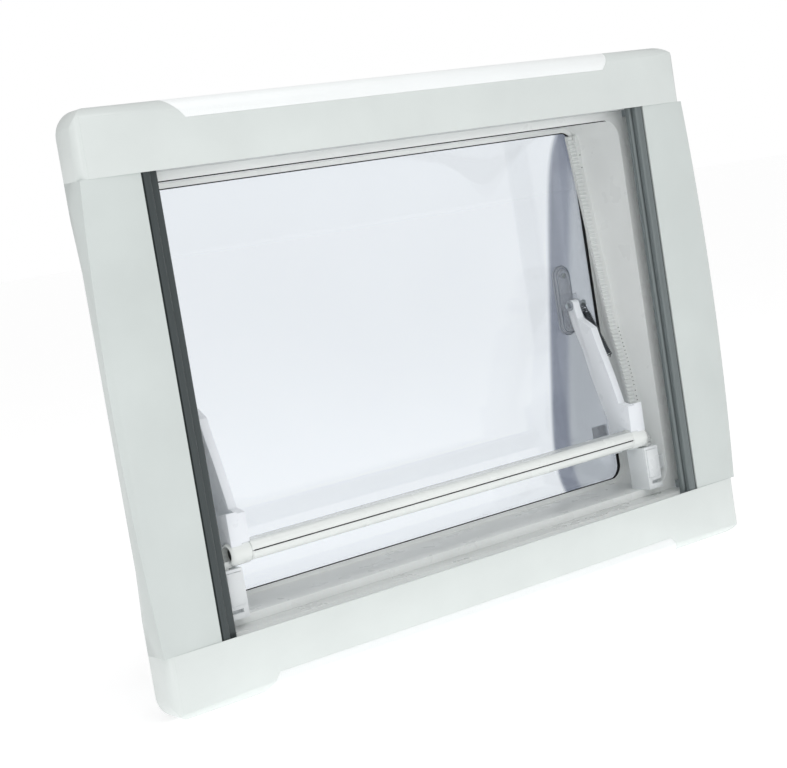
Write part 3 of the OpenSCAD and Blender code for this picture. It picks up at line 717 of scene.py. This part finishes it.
# %% Wind the arm springs


def helix(start, finish, radius, turns, per_turn=20):
    run = Vector(finish) - Vector(start)
    out = run.cross(Vector((1, 0, 0))).normalized()
    over = run.cross(out).normalized()
    points = []
    for i in range(turns * per_turn + 1):
        angle = math.tau * i / per_turn
        middle = Vector(start) + run * (i / (turns * per_turn))
        points.append(middle + radius * (math.cos(angle) * out + math.sin(angle) * over))
    return points


def wire(name, points, radius):
    """Round wire along points, made into a mesh."""
    curve = bpy.data.curves.new(name, "CURVE")
    curve.dimensions = "3D"
    line = curve.splines.new("POLY")
    line.points.add(len(points) - 1)
    for slot, point in zip(line.points, points):
        slot.co = (*point, 1)
    curve.bevel_depth = radius
    curve.bevel_resolution = 2
    curve.use_fill_caps = True
    drawn = bpy.data.objects.new(name + "_line", curve)
    bpy.context.scene.collection.objects.link(drawn)
    bpy.context.view_layer.update()
    mesh = bpy.data.meshes.new_from_object(drawn.evaluated_get(bpy.context.evaluated_depsgraph_get()))
    bpy.data.objects.remove(drawn)
    return new_piece(name, mesh)


SPRING_R = 3.9 * MM
WIRE_R = 0.7 * MM
for side_name in ("left", "right"):
    node = side_name + "_arm_spring"
    low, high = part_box(node)
    middle_x = (low.x + high.x) / 2
    top = Vector((middle_x, high.y - SPRING_R, high.z - SPRING_R))
    bottom = Vector((middle_x, low.y + SPRING_R, low.z + SPRING_R))
    along = (bottom - top).normalized()
    coil = helix(top + along * 2 * MM, bottom - along * 2 * MM, SPRING_R, 26)
    path = [top - along * 1 * MM] + coil + [bottom + along * 1 * MM]
    spring = wire(side_name + "_spring_coil", path, WIRE_R)
    finish_mesh(spring, SLOT_OF[node], angle=70)
    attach(spring, BODY_OF[node])
    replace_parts(spring, node)
print("springs wound:", 2)

# %% Wind the button springs
BUTTON_WIRE = 0.35 * MM
for side_name in ("left", "right"):
    node = side_name + "_button_spring"
    low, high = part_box(node)
    middle_x, middle_z = (low.x + high.x) / 2, (low.z + high.z) / 2
    back_end = Vector((middle_x, high.y - BUTTON_WIRE, middle_z))
    button_end = Vector((middle_x, low.y + BUTTON_WIRE, middle_z))
    coil_radius = (high.x - low.x) / 2 - BUTTON_WIRE
    spring = wire(node + "_coil", helix(back_end, button_end, coil_radius, 4), BUTTON_WIRE)
    finish_mesh(spring, SLOT_OF[node], angle=70)
    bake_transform(spring)
    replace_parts(spring, node)
print("button springs wound:", 2)

# %% [markdown]
# ## Pleated blinds
#
# Each blind is one cloth, folded like a fan behind its side trim. When its rail is
# drawn across, the folds open. The cloth is therefore made as a zigzag with its full
# flat length, fixed in its folded stack. Folds sit
# closer together in the middle of the stack, because that makes them open evenly.

# %% Fold the cloths


def fold_place(share):
    """Where in the stack a fold must sit so that the folds open evenly."""
    return 0.5 - math.sin(math.asin(1 - 2 * share) / 3)


def build_blind(node, travel, rows=12):
    low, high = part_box(node)
    stack, depth = high.x - low.x, high.y - low.y - 0.5 * MM
    folds = 2 * math.ceil((travel + stack) * 1.02 / depth / 2)
    near, far = low.y + 0.25 * MM, high.y - 0.25 * MM
    work = bmesh.new()
    columns, flat, last = [], 0.0, None
    for i in range(folds + 1):
        x = low.x + stack * fold_place(i / folds)
        y = near if i % 2 else far
        columns.append([work.verts.new((x, y, low.z + (high.z - low.z) * row / rows))
                        for row in range(rows + 1)])
        flat += math.hypot(x - last[0], y - last[1]) if last else 0.0
        last = (x, y)
    for first, second in zip(columns, columns[1:]):
        for row in range(rows):
            work.faces.new((first[row], second[row], second[row + 1], first[row + 1]))
    mesh = bpy.data.meshes.new(node + "_pleats")
    work.to_mesh(mesh)
    work.free()
    cloth = new_piece(node + "_pleats", mesh)
    finish_mesh(cloth, SLOT_OF[node], angle=20)
    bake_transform(cloth)
    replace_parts(cloth, node)
    print(node, "folds", folds, "flat", round(flat, 3), "x", round(high.z - low.z, 3), "m")


def travel_of(joint):
    found = [j for j in frame["joints"] if j["name"] == joint][0]
    return found["range_m"][1]


build_blind("blackout_fabric", travel_of("blackout_slide"))
build_blind("screen_fabric", travel_of("screen_slide"))

# %% [markdown]
# ## Dots along the racks
#
# Small dark dots run beside each rack. They are too small to cut, so each is a
# shallow dark dish, set between points of the imported rack that lie on the wall; their dark is painted shade
# between the rack's ribs. Where the rack has no such points for a long way, there is one dot and then a gap.

# %% Set the dots


def build_dots(side_name, sign):
    node = side_name + "_rack"
    low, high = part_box(node)
    wall = max(abs(low.x), abs(high.x))
    front = {}
    for vert in frame["nodes"][node].data.vertices:
        if abs(abs(vert.co.x) - wall) < 0.0001:
            key = round(vert.co.z, 4)
            front[key] = min(front.get(key, 1.0), vert.co.y)
    heights = sorted(front)
    work = bmesh.new()
    for first, second in zip(heights, heights[1:]):
        if second - first < 0.004:
            continue
        middle = Vector((sign * (wall - 2.2 * MM), (front[first] + front[second]) / 2, (first + second) / 2))
        disc = bmesh.ops.create_circle(work, cap_ends=True, segments=12, radius=0.9 * MM)["verts"]
        for vert in disc:
            vert.co = middle + Vector((vert.co.x, -0.12 * MM, vert.co.y))
        face = next(iter(set.intersection(*(set(v.link_faces) for v in disc))))
        bmesh.ops.inset_individual(work, faces=[face], thickness=0.35 * MM, depth=0.0)
        for vert in face.verts:
            vert.co.y += 0.1 * MM
    # The dots' black is painted shade.
    mesh_piece(side_name + "_rack_shade_dots", work, "black_moulding", "frame", angle=80)


for side_name, sign in (("left", -1), ("right", 1)):
    build_dots(side_name, sign)
print("dots set")

# %% [markdown]
# ## Fine lines
#
# Some of what the eye reads as drawing is a thin seal, a gasket or the rim of a clear
# moulding. Each is laid as a round bead along a path, with the same helper that
# draws the springs. The dark beads on the rims of the clear mounts and along the top
# guide's gap are painted shade. They ride on the part that they belong to.

# %% Lay the lip seal, the gasket, and the painted shade lines of the guide gap and mount rims
REVEAL_W, REVEAL_H, REVEAL_CORNER = 0.3275, 0.218, 0.017
LIP_DEPTH = 0.0416
GAP_HALF = 0.322
GAP_PLACE = (-0.034, 0.2224)
MOUNT_X = 0.281
COIL_TOP = Vector((0.291, 0.028, 0.009))
COIL_FOOT = Vector((0.302, 0.028, -0.021))


def rounded_path(half_w, half_h, radius, depth, steps=10):
    points = []
    for corner, (sx, sz) in enumerate(((1, 1), (-1, 1), (-1, -1), (1, -1))):
        for step in range(steps + 1):
            angle = math.radians(90 * corner + 90 * step / steps)
            points.append(Vector((sx * (half_w - radius) + radius * math.cos(angle), depth,
                                  sz * (half_h - radius) + radius * math.sin(angle))))
    return points + points[:1]


def lay_bead(name, points, radius, slot, body, finish=None):
    bead = finish_mesh(wire(name, points, radius), slot, angle=70)
    bead.data.materials[0] = MATERIALS[finish or slot]
    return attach(bead, body)


def oval_path(middle_x, low_z, high_z, radius, depth, steps=14):
    points = []
    for middle_z, start in ((high_z - radius, 0), (low_z + radius, 180)):
        for step in range(steps + 1):
            angle = math.radians(start + 180 * step / steps)
            points.append(Vector((middle_x + radius * math.cos(angle), depth,
                                  middle_z + radius * math.sin(angle))))
    return points + points[:1]


lip_path = rounded_path(REVEAL_W - 0.5 * MM, REVEAL_H - 0.5 * MM, REVEAL_CORNER, LIP_DEPTH)
lay_bead("lip_seal_bead", lip_path, 0.7 * MM, "black_rubber", "frame")
# The black bead along the top guide's gap is painted shadow in the gap.
lay_bead("guide_gap_shadow_bead", [Vector((-GAP_HALF, *GAP_PLACE)), Vector((GAP_HALF, *GAP_PLACE))], 0.6 * MM,
         "black_rubber", "frame")
bar_low, bar_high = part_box("bar_upper")
lay_bead("bar_gasket", [Vector((bar_low.x + 2 * MM, bar_low.y + 0.4 * MM, bar_low.z)),
                        Vector((bar_high.x - 2 * MM, bar_low.y + 0.4 * MM, bar_low.z))], 0.7 * MM,
         "black_rubber", "bow")
for side_name, sign in (("left", -1), ("right", 1)):
    low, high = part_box(side_name + "_dome_mount")
    middle = sign * MOUNT_X
    face = high.y
    # The dark rim beads on each clear mount are painted shade at its edges, not parts.
    for label, inset, lift in (("outer", 0.8 * MM, 2.2 * MM), ("inner", 3.6 * MM, 5.2 * MM)):
        lay_bead(side_name + "_mount_rim_" + label,
                 oval_path(middle, low.z + inset, high.z - inset, 14 * MM - inset, face - lift), 0.45 * MM,
                 "clear_mount", "dome", "mount_line")
    to_side = Vector((sign, 1, 1))
    coil = helix(COIL_TOP * to_side, COIL_FOOT * to_side, 3.6 * MM, 12)
    lay_bead(side_name + "_pivot_coil", coil, 0.6 * MM, "spring_steel", "bow")
print("beads laid")

# %% Give the other imported parts their finish
# The right-hand rails get the lighter copy of the rail finish as painted light.
# The side trims get a darker copy of the trim white as painted shade, and the bottom trim a lighter copy as
# painted light.
# The top guide gets a greyer copy of the white plastic as painted shade.
OWN_FINISH = {"trim_left_bar": "trim_side_painted_shade", "trim_right_bar": "trim_side_painted_shade", "trim_bottom_bar": "trim_bottom",
              "top_blind_guide": "guide_painted_shade", "right_landing_profile": "rail_painted_light",
              "blackout_rail": "rail_painted_light"}
REDRAWN = ("outer_pane", "left_hub", "right_hub")
finished_in_place = 0
for node, slot in OWN_FINISH.items():
    if node in EDGE:
        bpy.data.objects[node + "_finished"].data.materials[0] = MATERIALS[slot]
for node, obj in frame["nodes"].items():
    if node not in EDGE and node not in REDRAWN:
        finished_in_place += 1
        obj.data.materials.clear()
        obj.data.materials.append(MATERIALS[OWN_FINISH.get(node, SLOT_OF[node])])
        obj.data.polygons.foreach_set("use_smooth", [True] * len(obj.data.polygons))
        obj.data.set_sharp_from_angle(angle=math.radians(35))
print("finished in place:", finished_in_place)

# %% [markdown]
# ## The room it is shown in
#
# A plain pale floor and large soft lights are enough. Big lights give the white
# plastic slow changes of tone, and one light from above keeps the underside of the
# top trim in shade.

# %% Floor and lights


def pale_floor(level):
    work = bmesh.new()
    bmesh.ops.create_grid(work, x_segments=1, y_segments=1, size=60)
    mesh = bpy.data.meshes.new("floor")
    work.to_mesh(mesh)
    work.free()
    floor = new_piece("floor", mesh)
    floor.location.z = level
    made, tree, shader = new_material("floor_white", "d6d6d6", 0.9, Emission_Strength=0.6)
    shader.inputs["Emission Color"].default_value = (1, 1, 1, 1)
    feed(tree, ramp(tree, noise(tree, 0.5), tint("d6d6d6", 0.99), tint("d6d6d6", 1)), shader, "Base Color")
    mesh.materials.append(made)


def soft_light(name, place_at, size, watts, warmth="ffffff"):
    data = bpy.data.lights.new(name, "AREA")
    data.shape = "RECTANGLE"
    data.size, data.size_y = size
    data.energy = watts
    data.color = colour(warmth)[:3]
    lamp = bpy.data.objects.new(name, data)
    bpy.context.scene.collection.objects.link(lamp)
    lamp.location = place_at
    lamp.rotation_euler = (Vector(place_at) - AIM).to_track_quat("Z", "Y").to_euler()


def studio_world(seen, cast):
    """White all round for the eye and through clear parts, and a softer white for the light it casts."""
    world = bpy.data.worlds.new("studio")
    world.use_nodes = True
    nodes, links = world.node_tree.nodes, world.node_tree.links
    path = nodes.new("ShaderNodeLightPath")
    either = nodes.new("ShaderNodeMath")
    either.operation = "MAXIMUM"
    links.new(path.outputs["Is Camera Ray"], either.inputs[0])
    links.new(path.outputs["Is Transmission Ray"], either.inputs[1])
    strength = nodes.new("ShaderNodeMapRange")
    strength.inputs["To Min"].default_value = cast
    strength.inputs["To Max"].default_value = seen
    links.new(either.outputs["Value"], strength.inputs["Value"])
    nodes["Background"].inputs["Color"].default_value = (1, 1, 1, 1)
    links.new(strength.outputs["Result"], nodes["Background"].inputs["Strength"])
    bpy.context.scene.world = world


studio_world(1.0, 0.55)
pale_floor(cad_box[0][2] - 0.002)
soft_light("overhead", (-0.3, -0.9, 2.0), (2.0, 2.0), 16)
soft_light("front", (-1.6, -2.4, 0.4), (1.6, 1.6), 9)
bpy.context.scene.view_settings.view_transform = "Standard"
print("stage set")
